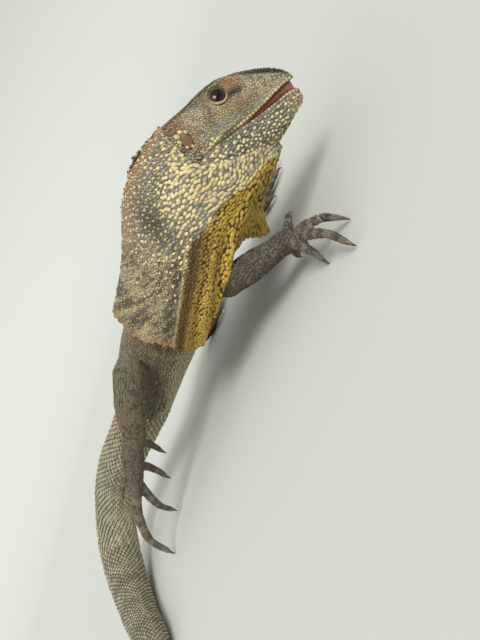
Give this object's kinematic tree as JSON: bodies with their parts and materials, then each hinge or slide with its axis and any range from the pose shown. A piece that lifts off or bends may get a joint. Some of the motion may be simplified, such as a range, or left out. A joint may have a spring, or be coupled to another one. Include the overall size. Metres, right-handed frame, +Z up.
{
  "type": "frilled lizard model",
  "caption": "Life-size still model of a frilled lizard, its neck frill folded back, standing on four feet with its long tail curled round on the floor.",
  "frame": {"origin": "on the floor, under the middle of the model's box", "axes": "+X towards the head, +Y to the animal's left, +Z up"},
  "size_m": [0.3862, 0.3468, 0.0908],
  "materials": {
    "skin_brown": "granular scales, dry",
    "skin_grey": "small scales, dry",
    "limb_dark": "small keeled scales, dry",
    "frill_grey": "scaled skin sheet",
    "frill_gold": "pleated scaled skin sheet",
    "tail_pale": "rows of keeled scales",
    "mouth_pink": "moist",
    "eye_dark": "wet gloss",
    "eardrum": "thin skin"
  },
  "bodies": {
    "root": {"head": "skin_brown", "lower_jaw": "skin_grey", "tongue": "mouth_pink", "neck": "skin_grey", "torso": "skin_grey", "eye_right": "eye_dark", "ear_right": "eardrum", "frill_right": "frill_grey", "upper_arm_right": "limb_dark", "forearm_right": "limb_dark", "hand_right": "limb_dark", "thigh_right": "limb_dark", "shank_right": "limb_dark", "foot_right": "limb_dark", "eye_left": "eye_dark", "ear_left": "eardrum", "frill_left": "frill_grey", "upper_arm_left": "limb_dark", "forearm_left": "limb_dark", "hand_left": "limb_dark", "thigh_left": "limb_dark", "shank_left": "limb_dark", "foot_left": "limb_dark", "frill_throat": "frill_gold", "tail_1": "tail_pale", "tail_2": "tail_pale", "tail_3": "tail_pale", "tail_4": "tail_pale", "tail_5": "tail_pale"}
  },
  "joints": []
}
